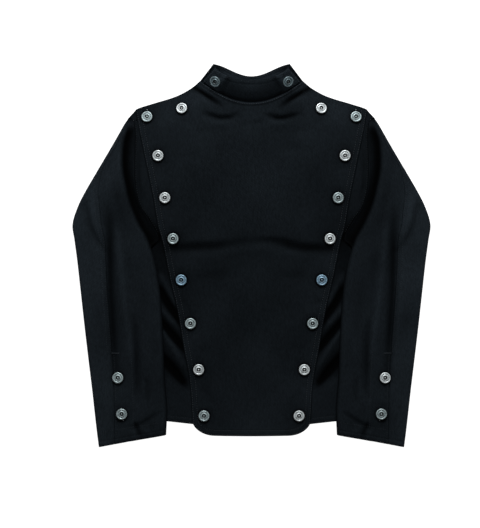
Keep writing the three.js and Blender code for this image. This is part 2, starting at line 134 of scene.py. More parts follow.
def sleeve_inner(v):
    """The rim or inner fold. At the cap it stays clear of the armhole seam."""
    return np.maximum(inner_row(v), np.where(np.asarray(v) > 200, front_armhole(v) + 1.6, 0))


def sleeve_elbow(v):
    return np.maximum(elbow_row(v), sleeve_inner(v) + 0.4)


def sleeve_outer(v):
    return np.maximum(outer_row(v), sleeve_elbow(v) + 1.2)


print("bib half width at the chest:", round(float(bib_edge(110)), 1), "mm")

# %% [markdown]
# ## Creases
# A crease in heavy twill is a soft trough with a low bank beside it. Each one is a line of points
# with a depth at each, so that it can bend, deepen and die away without a hard end. One side may
# be steeper than the other, as where a fold leans over. Negative depth makes a ridge. Sculpting
# would do as well, but rows of numbers can be tuned one at a time and give the same cloth again.

# %% Crease tables
# width on the left of the line's direction, width on its right, then points of (u, v, depth);
# u is signed on the body, with the wearer's left positive
BODY_CREASES = [
    (9, 8, [(148, 11, 1.6), (122, 14, 3.6), (92, 15, 4.2), (67, 19, 3.8), (48, 24, 1.6), (30, 28, 0)]),
    (7, 5.5, [(88, 24, 0), (60, 27, 1.6), (30, 29, 2.3), (10, 28, 1.5), (-4, 26, 0)]),
    (8, 10, [
        (-150, 11, 1.5), (-124, 15, 3.4), (-96, 17, 3.9), (-62, 18, 3.6), (-34, 22, 2.1),
        (-6, 27, 1.4), (6, 27, 0),
    ]),
    (9, 9, [(120, 4, 0), (70, 6, -0.8), (20, 14, -1.0), (-20, 14, -1.0), (-70, 5, -0.9), (-118, 0, 0)]),
    (11, 9, [(112, -30, 0), (84, -34, 1.2), (52, -33, 0.7), (20, -30, 0)]),
    (11, 9, [(-20, -32, 0), (-52, -34, 0.9), (-90, -36, 1.3), (-116, -30, 0)]),
    (5, 4, [(112, 309, 3.0), (96, 300, 4.2), (76, 287, 4.2), (60, 276, 2.6), (48, 264, 0)]),
    (4, 5, [(-112, 310, 3.0), (-97, 302, 4.3), (-78, 288, 4.4), (-62, 277, 2.8), (-48, 266, 0)]),
    (6, 6, [(96, 290, 0), (78, 277, -0.8), (64, 262, 0)]),
    (6, 6, [(-98, 291, 0), (-80, 277, -0.8), (-66, 264, 0)]),
    (5, 3.6, [
        (92, 258, 0), (76, 254, 3.0), (58, 249.5, 4.2), (46, 249.5, 4.2), (34, 253, 2.8), (20, 256, 0),
    ]),
    (3.6, 5, [
        (-90, 259, 0), (-76, 255, 3.1), (-56, 249, 4.3), (-40, 250, 3.9), (-32, 254, 2.2), (-20, 257, 0),
    ]),
    (5, 4, [(26, 250, 0), (15, 243, 1.3), (4, 240, 0.7), (-8, 241, 0)]),
    (6, 6, [(92, 238, 0), (66, 238, -0.8), (38, 238, -0.6), (20, 234, 0)]),
    (6, 6, [(-92, 240, 0), (-64, 239, -0.8), (-36, 240, -0.6), (-20, 236, 0)]),
    (6, 6, [(118, 234, 0), (94, 229, 0.7), (70, 228, 0)]),
    (7, 7, [(-112, 229, 0), (-90, 226, 0.8), (-60, 227, 0.4), (-36, 230, 0)]),
    (8, 8, [(136, 196, 0), (108, 192, 0.5), (70, 195, 0.4), (40, 190, 0)]),
    (8, 8, [(-140, 178, 0), (-112, 182, 0.6), (-84, 180, 0.4), (-60, 176, 0)]),
    (6, 6, [(130, -74, 0), (120, -82, 1.1), (112, -94, 0)]),
    (7, 7, [(-132, -70, 0), (-122, -80, 1.0), (-112, -98, 0.5), (-106, -110, 0)]),
    (8, 8, [(100, -150, 0), (90, -166, 0.7), (82, -184, 0)]),
    (8, 8, [(-98, -152, 0), (-88, -168, 0.7), (-80, -184, 0)]),
    (9, 9, [(98, -226, 0), (84, -250, 0.9), (72, -266, 0.8), (54, -280, 0)]),
    (9, 9, [(-96, -222, 0), (-82, -246, 0.9), (-68, -262, 0.7), (-50, -276, 0)]),
    (13, 13, [(40, 120, 0), (20, 88, 0.35), (8, 52, 0.3), (4, 34, 0)]),
    (14, 14, [(-30, -90, 0), (-12, -140, 0.3), (-16, -200, 0.3), (-4, -240, 0)]),
]
# on the open strip beside the bib, the same on both sides but for their depth
FLANK_CREASES = [
    (6, 6, [(168, -26, 0), (160, -40, -1.4), (140, -80, -1.7), (132, -94, 0)]),
    (6, 8, [(172, -48, 0), (164, -62, 2.6), (146, -92, 3.0), (128, -120, 2.0), (118, -134, 0)]),
    (6, 6, [(168, -86, 0), (160, -98, -1.6), (142, -118, -1.9), (126, -136, 0)]),
    (6, 8, [(170, -104, 0), (162, -120, 2.8), (144, -142, 3.2), (126, -162, 2.2), (116, -176, 0)]),
    (6, 6, [(168, -120, 0), (158, -138, -1.9), (140, -166, -2.1), (122, -194, -1.2), (114, -206, 0)]),
    (7, 9, [(168, -166, 0), (160, -184, 3.0), (142, -204, 3.4), (124, -226, 2.6), (112, -242, 0)]),
    (8, 8, [(158, -214, 0), (148, -228, -0.9), (132, -246, 0)]),
    (4, 4, [(200, 206, 0), (203, 170, 0.9), (202, 130, 1.0), (194, 92, 0)]),
]
SLEEVE_CREASES = [
    (8, 8, [
        (258, 100, 0), (256, 66, 2.0), (255, 20, 3.0), (254, -60, 3.0), (250, -130, 3.0),
        (246, -196, 2.0), (244, -226, 0),
    ]),
    (8, 5, [(304, 112, 0), (299, 94, 1.4), (291, 56, 2.4), (281, 34, 2.2), (268, 16, 1.3), (254, 6, 0)]),
    (9, 9, [(292, 128, 0), (286, 84, -1.0), (272, 46, -1.0), (262, 34, 0)]),
    (6, 6, [
        (246, 62, 0), (242, 40, -1.3), (236, -20, -1.4), (228, -92, -1.6), (218, -170, -1.4),
        (214, -200, 0),
    ]),
    (5, 8, [(214, -102, 0), (210, -128, 1.6), (208, -180, 2.4), (207, -230, 1.8), (209, -262, 0)]),
    (4, 6, [(194, -212, 0), (189, -226, 1.2), (187, -250, 1.0), (190, -268, 0)]),
    (9, 9, [(284, -84, 0), (277, -110, 0.8), (266, -164, 0.7), (262, -190, 0)]),
    (9, 9, [(200, -36, 0), (196, -60, 0.6), (190, -128, 0.5), (192, -156, 0)]),
    (8, 8, [(250, 150, 0), (243, 112, 0.9), (234, 66, 0.8), (222, 34, 0)]),
    (7, 7, [(232, 20, 0), (222, -8, 0.7), (214, -50, 0.4), (212, -78, 0)]),
    (10, 10, [(272, 180, 0), (258, 140, -0.8), (254, 104, 0)]),
    (6, 6, [(178, -120, 0), (174, -170, 0.6), (176, -214, 0)]),
]
# v here is before the cuff's slope
CUFF_PUCKERS = [
    (4, 3.5, [(211, -296, 0), (208, -306, 2.4), (203, -318, 2.6), (199, -330, 1.0)]),
    (5, 5, [
        (162, -282, 0), (176, -292, 1.8), (190, -300, 2.2), (204, -306, 1.8), (214, -308, 1.2),
        (228, -306, 0),
    ]),
    (5, 5, [(196, -314, 0), (188, -320, -0.9), (176, -324, -0.5), (166, -324, 0)]),
    (4, 4, [(216, -302, 0), (214, -314, -0.8), (210, -328, -0.5)]),
    (5, 5, [(182, -298, 0), (180, -310, 0.8), (178, -326, 0.4)]),
    (4, 4, [(262, -300, 0), (260, -314, 0.7), (259, -330, 0.3)]),
]


def creased(rows, u, v):
    """Depth of a table's creases at each place."""
    total = np.zeros(np.broadcast(u, v).shape)
    for left, right, points in rows:
        deepest = np.zeros_like(total)
        for (u0, v0, d0), (u1, v1, d1) in zip(points, points[1:]):
            du, dv = u1 - u0, v1 - v0
            along = np.clip(((u - u0) * du + (v - v0) * dv) / (du * du + dv * dv), 0, 1)
            off = np.hypot(u - u0 - along * du, v - v0 - along * dv)
            width = np.where(du * (v - v0) - dv * (u - u0) > 0, left, right)
            depth = (d0 + (d1 - d0) * along) * np.exp(-((off / width) ** 2))
            deepest = np.where(np.abs(depth) > np.abs(deepest), depth, deepest)
        total = total + deepest
    return total


print("creases by hand:", sum(map(len, (BODY_CREASES, FLANK_CREASES, SLEEVE_CREASES, CUFF_PUCKERS))))

# %% [markdown]
# ## The lie of the cloth
# Layers are stacked from the table up: back, fronts, bib, with the sleeves beside and over them.
# One function gives the underside of the fronts, and the others add a wall or a gap to it, so
# layers never cut through each other. Slow, shallow waves keep a large flat panel from looking
# like a board.

# %% Where the buttons sit
BUTTON_PLACES = [
    # name, u, v, grey on the left, grey on the right
    ("shoulder_inner", 125.3, 266.2, "pale", "pale"),
    ("shoulder_outer", 188.1, 251.1, "middle", "middle"),
    ("bib_1", 168.1, 181.2, "pale", "pale"),
    ("bib_2", 155.8, 105.5, "middle", "pale"),
    ("bib_3", 141.1, 31.9, "pale", "middle"),
    ("bib_4", 126.3, -42.3, "blue", "blue"),
    ("bib_5", 109.8, -120.5, "middle", "middle"),
    ("bib_6", 94.9, -203.4, "pale", "pale"),
    ("bib_7", 85.3, -286.5, "pale", "middle"),
    ("cuff_upper", 240.0, -218.1, "pale", "middle"),
    ("cuff_lower", 233.4, -283.1, "middle", "middle"),
]
BIB_BUTTONS = [(u, v) for name, u, v, *_ in BUTTON_PLACES if not name.startswith("cuff")]
CUFF_BUTTONS = [(u, v) for name, u, v, *_ in BUTTON_PLACES if name.startswith("cuff")]

# %% Heights
BUTTON_SINK = 0.7
BUTTON_PULL = 13.0


def waves(u, v):
    """Slow unevenness of cloth that lies, in millimetres."""
    slow = np.sin(u / 37 + 1.3) * np.sin(v / 53 + 0.4) + 0.6 * np.sin((u + v) / 29 + 2.1)
    return 0.28 * slow + 0.12 * np.sin(u / 11.3 + v / 17.9)


def pulled(places, u, v):
    """Cloth sinks a little round each button that holds it."""
    return sum(
        BUTTON_SINK * np.exp(-(((u - bu) ** 2 + (v - bv) ** 2) / BUTTON_PULL**2)) for bu, bv in places
    )


def front_under(u, v, creases=True):
    """Underside of the fronts. u is signed."""
    far = np.abs(u)
    loft = ease(0, SIDE_EASE, side_seam(v) - far) * ease(0, SHOULDER_EASE, shoulder_line(far) - v)
    deep = creased(BODY_CREASES, u, v) - waves(u, v) if creases else 0
    return WALL + SEAM_GAP + loft * (LOFT - deep)


def front_face(u, v):
    open_strip = ease(0, 10, np.abs(u) - bib_edge(v))
    depth = 1 + 0.12 * np.sign(u)
    return front_under(u, v) + WALL - open_strip * depth * creased(FLANK_CREASES, np.abs(u), v)


def bib_face(u, v):
    pull = pulled(BIB_BUTTONS, np.abs(u), v) * ease(0, SHOULDER_EASE, shoulder_line(np.abs(u)) - v)
    return front_under(u, v) + 2 * WALL + LAY_GAP - pull


def over_body(u, v):
    return front_under(u, v, creases=False) + WALL + LAY_GAP


def outer_round(v):
    return np.clip((sleeve_outer(v) - sleeve_inner(v)) * 0.4, 3, 5.6)


def sleeve_face(u, v):
    """The outer face of a sleeve's upper layer, away from its two folds."""
    turn = outer_round(v)
    outside = ease(0, 40, sleeve_outer(v) - turn - u)
    height = 2 * turn + (sleeve_height(v) - 2 * turn) * outside
    inner = sleeve_inner(v)
    inside = ease(0, 55, inner + 60 - u) * ease(251, 180, v)
    needed = np.where(v < 25, over_body(inner + 4, v) + FOLD_HEIGHT, 0)
    rim = np.maximum(height + RIM_RISE, needed)
    deep = creased(SLEEVE_CREASES, u, v) + creased(CUFF_PUCKERS, u, v) - 1.2 * waves(u, v)
    deep = deep + pulled(CUFF_BUTTONS, u, v)
    calm = ease(251, 200, v) * ease(0, 10, sleeve_outer(v) - turn - u)
    return height + (rim - height) * inside - deep * calm


def slanted(u, v):
    """The cuff edge slopes, and the slope fades out up the forearm."""
    return v + CUFF_SLOPE * (u - CUFF_MIDDLE) * ease(-230, CUFF_V, v)


print("bib height at its centre:", round(float(bib_face(0.0, 100.0)), 1), "mm")

# %% [markdown]
# ## From a grid to cloth
# Real cloth has two faces and an edge. Each panel is a grid of points on its outer face. A second
# grid lies one wall inside, and a rim joins them, which gives a closed mesh that also shows well
# in section at cuffs and hem. A Solidify modifier would do this too, but a grid made in code can
# turn its inner face straight down where layers are stacked, and can leave quads out.

# %% Cloth from a grid
WEAR_AND_SHADE_RANGE = 1.5


def outward_normals(grid, kept):
    """Vertex normals of a grid, taken from the quads that are kept."""
    fall = grid[1:, 1:] - grid[:-1, :-1]
    cross = np.cross(fall, grid[:-1, 1:] - grid[1:, :-1])
    cross *= kept[..., None]
    total = np.zeros_like(grid)
    for rows in (slice(None, -1), slice(1, None)):
        for cols in (slice(None, -1), slice(1, None)):
            total[rows, cols] += cross
    length = np.linalg.norm(total, axis=2, keepdims=True)
    return total / np.maximum(length, 1e-12)


def mesh_object(name, points, faces, material, wear_and_shade=None):
    """A smooth mesh object from points in millimetres, with a value on each point: rubbing on button metal;
    painted shade and highlight with slow wear on cloth.
    """
    mesh = bpy.data.meshes.new(name)
    used = np.unique(np.concatenate([np.ravel(f) for f in faces]))
    place = np.full(len(points), -1)
    place[used] = np.arange(len(used))
    mesh.from_pydata((points[used] * MM).tolist(), [], [tuple(place[list(f)]) for f in faces])
    if wear_and_shade is not None:
        mesh.attributes.new("wear_and_shade", "FLOAT", "POINT").data.foreach_set("value", wear_and_shade[used])
    mesh.shade_smooth()
    piece = bpy.data.objects.new(name, mesh)
    bpy.context.scene.collection.objects.link(piece)
    mesh.materials.append(material)
    return piece


def cloth(name, grid, wear_and_shade, material, straight_down=False, kept=None, inside_light_scale=0.6):
    """A closed wall of cloth on a grid of outer points. Rows fall, and columns run to +u."""
    grid = np.asarray(grid, float)
    rows, cols = grid.shape[:2]
    if kept is None:
        kept = np.ones((rows - 1, cols - 1), bool)
    if straight_down:
        inner = grid - np.array([0, 0, WALL])
    else:
        inner = grid - WALL * outward_normals(grid, kept)
    number = np.arange(rows * cols).reshape(rows, cols)
    below = number + rows * cols
    faces = []
    padded_kept = np.pad(kept, 1)
    for i, j in zip(*np.nonzero(kept)):
        a, b, c, d = number[i, j], number[i + 1, j], number[i + 1, j + 1], number[i, j + 1]
        e, f, g, h = below[i, j], below[i + 1, j], below[i + 1, j + 1], below[i, j + 1]
        faces.append((a, b, c, d))
        faces.append((e, h, g, f))
        if not padded_kept[i + 1, j]:
            faces.append((a, e, f, b))
        if not padded_kept[i + 2, j + 1]:
            faces.append((b, f, g, c))
        if not padded_kept[i + 1, j + 2]:
            faces.append((c, g, h, d))
        if not padded_kept[i, j + 1]:
            faces.append((d, h, e, a))
    points = np.concatenate([grid.reshape(-1, 3), inner.reshape(-1, 3)])
    # The point value paints shade and highlight into the cloth's colour, with slow wear. The inner face
    # takes it scaled: darker by default, as painted shade; lighter where an inside is given painted light.
    shade_and_wear_value = np.clip(np.broadcast_to(wear_and_shade, (rows, cols)), 0, WEAR_AND_SHADE_RANGE).ravel()
    piece = mesh_object(name, points, faces, material, np.concatenate([shade_and_wear_value, shade_and_wear_value * inside_light_scale]))
    print(name, "faces:", len(faces))
    return piece


def mirrored(grid, wear_and_shade):
    """The same piece on the wearer's right: columns are turned round to keep the faces out."""
    return grid[:, ::-1] * np.array([-1, 1, 1]), wear_and_shade[:, ::-1]


# %% [markdown]
# ## Black twill
# Twill's threads step sideways by one at each row, which shows as fine slanting ribs. The black is
# never quite even, and a raking light picks up nap. A value on each point paints shade into the
# colour: painted shade in creases, valleys, seams and round buttons, a painted highlight on ridges,
# and slow patches of wear. The ribs could be modelled thread by thread, but at less than a
# millimetre a bump made from waves is cheaper and holds at any distance. Noise breaks the ribs.

# %% Material helpers


def material(name, roughness, metallic=0.0):
    made = bpy.data.materials.new(name)
    made.use_nodes = True
    shader = made.node_tree.nodes["Principled BSDF"]
    shader.inputs["Roughness"].default_value = roughness
    shader.inputs["Metallic"].default_value = metallic
    return made, shader


def noise(tree, scale, detail=3.0, stretch=(1, 1, 1)):
    """A noise of that scale per metre, stretched along the axes."""
    place = tree.nodes.new("ShaderNodeTexCoord")
    turn = tree.nodes.new("ShaderNodeMapping")
    turn.inputs["Scale"].default_value = stretch
    made = tree.nodes.new("ShaderNodeTexNoise")
    made.inputs["Scale"].default_value = scale
    made.inputs["Detail"].default_value = detail
    tree.links.new(place.outputs["Object"], turn.inputs["Vector"])
    tree.links.new(turn.outputs["Vector"], made.inputs["Vector"])
    return made.outputs["Fac"]


def ramp(tree, value, stops):
    """Turns a value into colours at the given places."""
    made = tree.nodes.new("ShaderNodeValToRGB")
    while len(made.color_ramp.elements) < len(stops):
        made.color_ramp.elements.new(0.5)
    for element, (at, colour) in zip(made.color_ramp.elements, stops):
        element.position = at
        element.color = (*colour, 1)
    tree.links.new(value, made.inputs["Fac"])
    return made.outputs["Color"]


def math_node(tree, operation, *values):
    made = tree.nodes.new("ShaderNodeMath")
    made.operation = operation
    for socket, value in zip(made.inputs, values):
        if hasattr(value, "links"):
            tree.links.new(value, socket)
        else:
            socket.default_value = value
    return made.outputs[0]


def bumped(tree, shader, height, strength, depth_mm):
    """Lets a height roughen the surface by that depth."""
    bump = tree.nodes.new("ShaderNodeBump")
    bump.inputs["Strength"].default_value = strength
    bump.inputs["Distance"].default_value = depth_mm * MM
    tree.links.new(height, bump.inputs["Height"])
    tree.links.new(bump.outputs["Normal"], shader.inputs["Normal"])


# %% Twill
RIB_MM = 1.1
RIB_LEAN = 27
# Colours at the two ends of the point value: black where shade is painted in full, and the lightest black,
# where most light is painted.
SHADED_BLACK = (0.0003, 0.0004, 0.0005)
LIGHTEST_BLACK = (0.0178, 0.0242, 0.0302)


def twill(name, lean=1.0):
    """Black cotton twill, whose ribs lean one way or the other."""
    made, shader = material(name, 0.9)
    tree = made.node_tree
    place = tree.nodes.new("ShaderNodeTexCoord")
    turn = tree.nodes.new("ShaderNodeMapping")
    turn.inputs["Rotation"].default_value = (0, 0, math.radians(RIB_LEAN) * lean)
    tree.links.new(place.outputs["Object"], turn.inputs["Vector"])
    ribs = tree.nodes.new("ShaderNodeTexWave")
    ribs.bands_direction = "X"
    ribs.inputs["Scale"].default_value = 1 / (RIB_MM * MM) / 20 * math.pi
    ribs.inputs["Distortion"].default_value = 1.2
    ribs.inputs["Detail"].default_value = 1.0
    ribs.inputs["Detail Scale"].default_value = 30
    tree.links.new(turn.outputs["Vector"], ribs.inputs["Vector"])
    clouds = noise(tree, 11, 3)
    slubs = noise(tree, 520, 3, (1, 0.3, 1))
    # The point value paints shade and highlight into the colour, with slow wear; clouds, slubs and ribs
    # vary it.
    wear_and_shade = tree.nodes.new("ShaderNodeAttribute")
    wear_and_shade.attribute_name = "wear_and_shade"
    patchy = math_node(tree, "MULTIPLY_ADD", clouds, 0.7, 0.4)
    threads = math_node(tree, "MULTIPLY_ADD", slubs, 1.3, 0.35)
    rib_tops = math_node(tree, "MULTIPLY_ADD", ribs.outputs["Fac"], 0.7, 0.65)
    ribbed = math_node(tree, "MULTIPLY", threads, rib_tops)
    uneven = math_node(tree, "MULTIPLY", patchy, ribbed)
    shade_and_wear_value = math_node(tree, "MULTIPLY", wear_and_shade.outputs["Fac"], uneven)
    share = math_node(tree, "DIVIDE", shade_and_wear_value, WEAR_AND_SHADE_RANGE)
    colour = ramp(tree, share, [(0.0, SHADED_BLACK), (1.0, LIGHTEST_BLACK)])
    tree.links.new(colour, shader.inputs["Base Color"])
    height = math_node(tree, "MULTIPLY_ADD", slubs, 0.8, ribs.outputs["Fac"])
    bumped(tree, shader, height, 0.5, 0.14)
    shader.inputs["Specular IOR Level"].default_value = 0.015
    return made


body_twill = twill("body twill")
sleeve_twill_left = twill("left sleeve twill", 1.0)
sleeve_twill_right = twill("right sleeve twill", -1.0)
collar_twill = twill("collar twill")
print("materials:", len(bpy.data.materials))

# %% [markdown]
# ## The body: back, fronts and bib
# The back is one panel on the table. The two fronts lie over it and stop under the bib, which
# buttons on from shoulder to hem on both sides. All three grids run from the top edge to the hem,
# with extra rows and columns near the edges, where the cloth's turned edge drops by a fraction
# of a millimetre. Without that rounding a cloth edge looks cut from card.

# %% Grids for the body
STEP = 3.0
# How far the outer face drops at these distances from a turned and twice stitched edge.
EDGE_STEPS = (0.0, 0.5, 1.2, 2.5, 4.0, 6.2, 8.6, 10.0, 11.4, 14.0)
EDGE_DROP = (0.8, 0.3, 0.1, 0.3, -0.15, -0.35, -0.1, 0.35, 0.0, 0.0)
STITCH_ROWS = (2.5, 10.0)


def spread(length):
    """Places along a length, close together near both ends."""
    middle = np.linspace(EDGE_STEPS[-1], length - EDGE_STEPS[-1], max(int(length / STEP), 3))
    ends = np.array(EDGE_STEPS[:-1])
    return np.concatenate([ends, middle, length - ends[::-1]]) / length


def edge_drop(near):
    return np.interp(near, EDGE_STEPS, EDGE_DROP)


def neck_seam(u, drop):
    return NECK_SIDE - drop * (1 - (u / NECK_HALF) ** 2)


def front_top(u):
    return np.where(u < NECK_HALF, neck_seam(u, 40), shoulder_line(u))


def front_hem(u):
    return -301.8 + (u - 107.1) * 0.111


def bib_hem(share):
    corner = np.clip(np.abs(share) - 0.62, 0, None) / 0.38
    return -323.4 + 2 * share**2 + 28.6 * (1 - np.sqrt(1 - corner * corner))


def panel(shares_u, shares_v, width_at, top_at, hem_at):
    """(u, v) of a panel's grid. width_at(v) gives its two side edges."""
    u = np.zeros((len(shares_v), len(shares_u)))
    v = np.zeros_like(u)
    for _ in range(12):
        top, hem = top_at(u, shares_u[None, :]), hem_at(u, shares_u[None, :])
        v = top + (hem - top) * shares_v[:, None]
        near, far = width_at(v)
        u = near + (far - near) * shares_u[None, :]
    return u, v


# %% Back, fronts and bib
BACK_HEM_INSET = 1.5
BACK_HEM_HALF = 218


def slow_wear(u, v):
    """Slow patches of wear about an even middle."""
    return 0.05 * np.sin(u / 41 + 0.7) * np.sin(v / 67) + 0.03 * np.sin((u - v) / 23)


# Places along the length, and how light the bib's colour is painted there.
BIB_BRIGHTNESS = (
    (-330, -250, -150, -69, 0, 50, 129, 174, 270),
    (0.66, 0.63, 0.56, 0.51, 0.52, 0.50, 0.57, 0.62, 0.66),
)


def row_shade(near):
    """Stitches pull the cloth down into a groove, and shade is painted there."""
    return sum(0.22 * np.exp(-(((near - row) / 0.9) ** 2)) for row in STITCH_ROWS)


def button_shade(places, u, v):
    """Shade painted round a button, darkest in a ring at its rim."""
    total = np.zeros(np.broadcast(u, v).shape)
    for bu, bv in places:
        away = np.hypot(u - bu, v - bv)
        total = total + 0.4 * ease(15, 10.5, away) + 0.1 * ease(28, 15, away)
    return total


def neck_ridge(u, v):
    """The turned seam allowance makes a ridge just below the neck seam; its height, and a painted highlight
    on it with painted shade in the groove at the seam.
    """
    from_seam = np.where(u < NECK_HALF + 2, front_top(u) - v, 99)
    ridge = np.exp(-(((from_seam - 2.6) / 1.3) ** 2))
    groove = np.exp(-((from_seam / 1.2) ** 2)) + 0.5 * np.exp(-(((from_seam - 6.5) / 1.6) ** 2))
    return 0.8 * ridge - 0.6 * groove, 0.3 * ridge - 0.5 * groove


def back_grid():
    def width(v):
        far = np.where(v > UNDERARM, back_armhole(v), side_seam(v)) - SEAM_GAP
        return -far, far

    def top(u, share):
        near = np.minimum(np.abs(u), 214)
        return np.where(near < NECK_HALF, neck_seam(near, 32), shoulder_line(near))

    def hem(u, share):
        return front_hem(np.minimum(abs(u), BACK_HEM_HALF)) + BACK_HEM_INSET

    u, v = panel(spread(440), spread(600), width, top, hem)
    return np.dstack([u, v, np.full_like(u, WALL)]), np.full_like(u, 0.3)


def front_grid(sign):
    def width(v):
        far = np.where(v > UNDERARM, front_armhole(v), side_seam(v)) - SEAM_GAP
        return np.full_like(v, FRONT_EDGE), far

    def top(u, share):
        return np.minimum(front_top(u), NECK_SIDE - SEAM_GAP)

    u, v = panel(spread(170), spread(600), width, top, lambda u, share: front_hem(u))
    z = front_face(sign * u, v) - edge_drop(v - front_hem(u)) + neck_ridge(u, v)[0]
    # Painted shade on the open strip: darkest by the foot of the armhole under the sleeve, lighter towards
    # the hem and the shoulder, darker again along the armhole seam. Its creases are painted darker in the
    # troughs and lighter on the ridges, and the neck ridge adds its painted highlight and shade.
    shade = 0.1 + 0.07 * ease(40, 0, v) + 0.08 * ease(-20, -80, v)
    shade = shade + 0.34 * ease(-190, -260, v) + 0.36 * ease(26, 90, v)
    shade = shade - 0.3 * ease(6, 1, front_armhole(v) - u) * ease(20, 40, v) * ease(250, 225, v)
    wear_and_shade = shade - 0.2 * creased(FLANK_CREASES, u, v) + slow_wear(u, v) + neck_ridge(u, v)[1]
    return np.dstack([u, v, z]), wear_and_shade


def bib_grid():
    u, v = panel(
        spread(400),
        spread(610),
        lambda v: (-bib_edge(v), bib_edge(v)),
        lambda u, share: front_top(np.abs(u)),
        lambda u, share: bib_hem(share * 2 - 1),
    )
    near = np.minimum(bib_edge(v) - np.abs(u), v - bib_hem(u / bib_edge(v)))
    ridge, light = neck_ridge(np.abs(u), v)
    z = bib_face(u, v) - edge_drop(near) + ridge
    # Painted light and shade on the bib, with slow wear: its brightness along the length from the table,
    # painted shade along the stitch rows, in crease troughs and round the buttons, a painted highlight on
    # crease ridges and on the neck ridge, and painted shade right at its edge.
    wear_and_shade = np.interp(v, *BIB_BRIGHTNESS) + slow_wear(u, v) - row_shade(near)
    wear_and_shade = wear_and_shade - (0.1 + 0.08 * ease(240, 270, v)) * creased(BODY_CREASES, u, v)
    wear_and_shade = wear_and_shade + light - button_shade(BIB_BUTTONS, np.abs(u), v)
    wear_and_shade = wear_and_shade * (0.35 + 0.65 * ease(0.2, 1.2, near))
    return np.dstack([u, v, z]), wear_and_shade


back = cloth("cloth_back", *back_grid(), body_twill, straight_down=True)
front_left = cloth("cloth_front_left", *front_grid(1), body_twill, straight_down=True)
front_right = cloth("cloth_front_right", *mirrored(*front_grid(-1)), body_twill, straight_down=True)
bib = cloth("cloth_bib", *bib_grid(), body_twill, straight_down=True)

# %% [markdown]
# ## Sleeves
# A two-piece sleeve has a seam at the elbow and one at the forearm. Laid flat, it is a tube
# pressed between two folds. The upper piece runs from the elbow seam to the inner fold. Above the
# foot of the armhole it dips into a valley and climbs to the armhole seam. The under piece goes
# from the elbow seam round the outer fold and beneath, over the side of the body. Each is one
# grid, with rows along the sleeve and columns round it.

# %% Sleeve grids
# Places along the length, and how light a sleeve's colour is painted there: inside and outside the elbow
# seam.
SLEEVE_BRIGHTNESS = (
    (-332, -240, -60, 60, 110, 250),
    (0.70, 0.68, 0.63, 0.66, 0.72, 0.72),
    (0.93, 0.93, 1.00, 1.00, 0.86, 0.80),
)
VALLEY_LOWEST = 4.8
VALLEY_FLOOR = 8.6


def blend_columns(points, count):
    """More columns between a few, on a smooth curve through them. points is rows x few x 2."""
    few = points.shape[1]
    at = np.linspace(0, few - 1, count)
    i = np.clip(at.astype(int), 0, few - 2)
    t = (at - i)[None, :, None]
    before = points[:, np.clip(i - 1, 0, few - 1)]
    a, b = points[:, i], points[:, i + 1]
    after = points[:, np.clip(i + 2, 0, few - 1)]
    tangent_a, tangent_b = (b - before) / 2, (after - a) / 2
    h = 2 * t**3 - 3 * t**2 + 1
    k = t**3 - 2 * t**2 + t
    return h * a + k * tangent_a + (1 - h) * b + (t**3 - t**2) * tangent_b


def sleeve_rows():
    cuff = CUFF_V + np.array(EDGE_STEPS)
    middle = np.arange(237, cuff[-1] + STEP / 2, -STEP)
    return np.concatenate([[250.6, 249.4, 248, 246, 244, 241], middle, cuff[::-1]])


def inner_columns(v):
    """From the rim down the valley to the armhole seam, or round the inner fold to its middle."""
    inner = sleeve_inner(v)
    rim = sleeve_face(inner + 8, v)
    seam = front_armhole(v)
    seam_z = np.maximum(front_face(seam, v), VALLEY_LOWEST)
    floor = np.clip(seam_z, VALLEY_LOWEST, VALLEY_FLOOR)
    width = inner - seam
    valley = [
        (inner + width * 0.1, floor + (rim - floor) * 0.93),
        (inner - width * 0.08, floor + (rim - floor) * 0.66),
        (inner - width * 0.3, floor + (rim - floor) * 0.12),
        (inner - width * 0.65, floor),
        (seam + SEAM_GAP, seam_z),
    ]
    fold = (rim - over_body(inner + 4, v)) / 2
    turned = [
        (inner + 4.6, rim - fold * 0.06),
        (inner + 2.4, rim - fold * 0.24),
        (inner + 0.8, rim - fold * 0.48),
        (inner, rim - fold * 0.76),
        (inner, rim - fold + SEAM_GAP / 2),
    ]
    below = ease(30, 12, v)[:, None]
    a = np.stack([np.stack(p, 1) for p in valley], 1)
    b = np.stack([np.stack(p, 1) for p in turned], 1)
    return a + (b - a) * below[..., None]


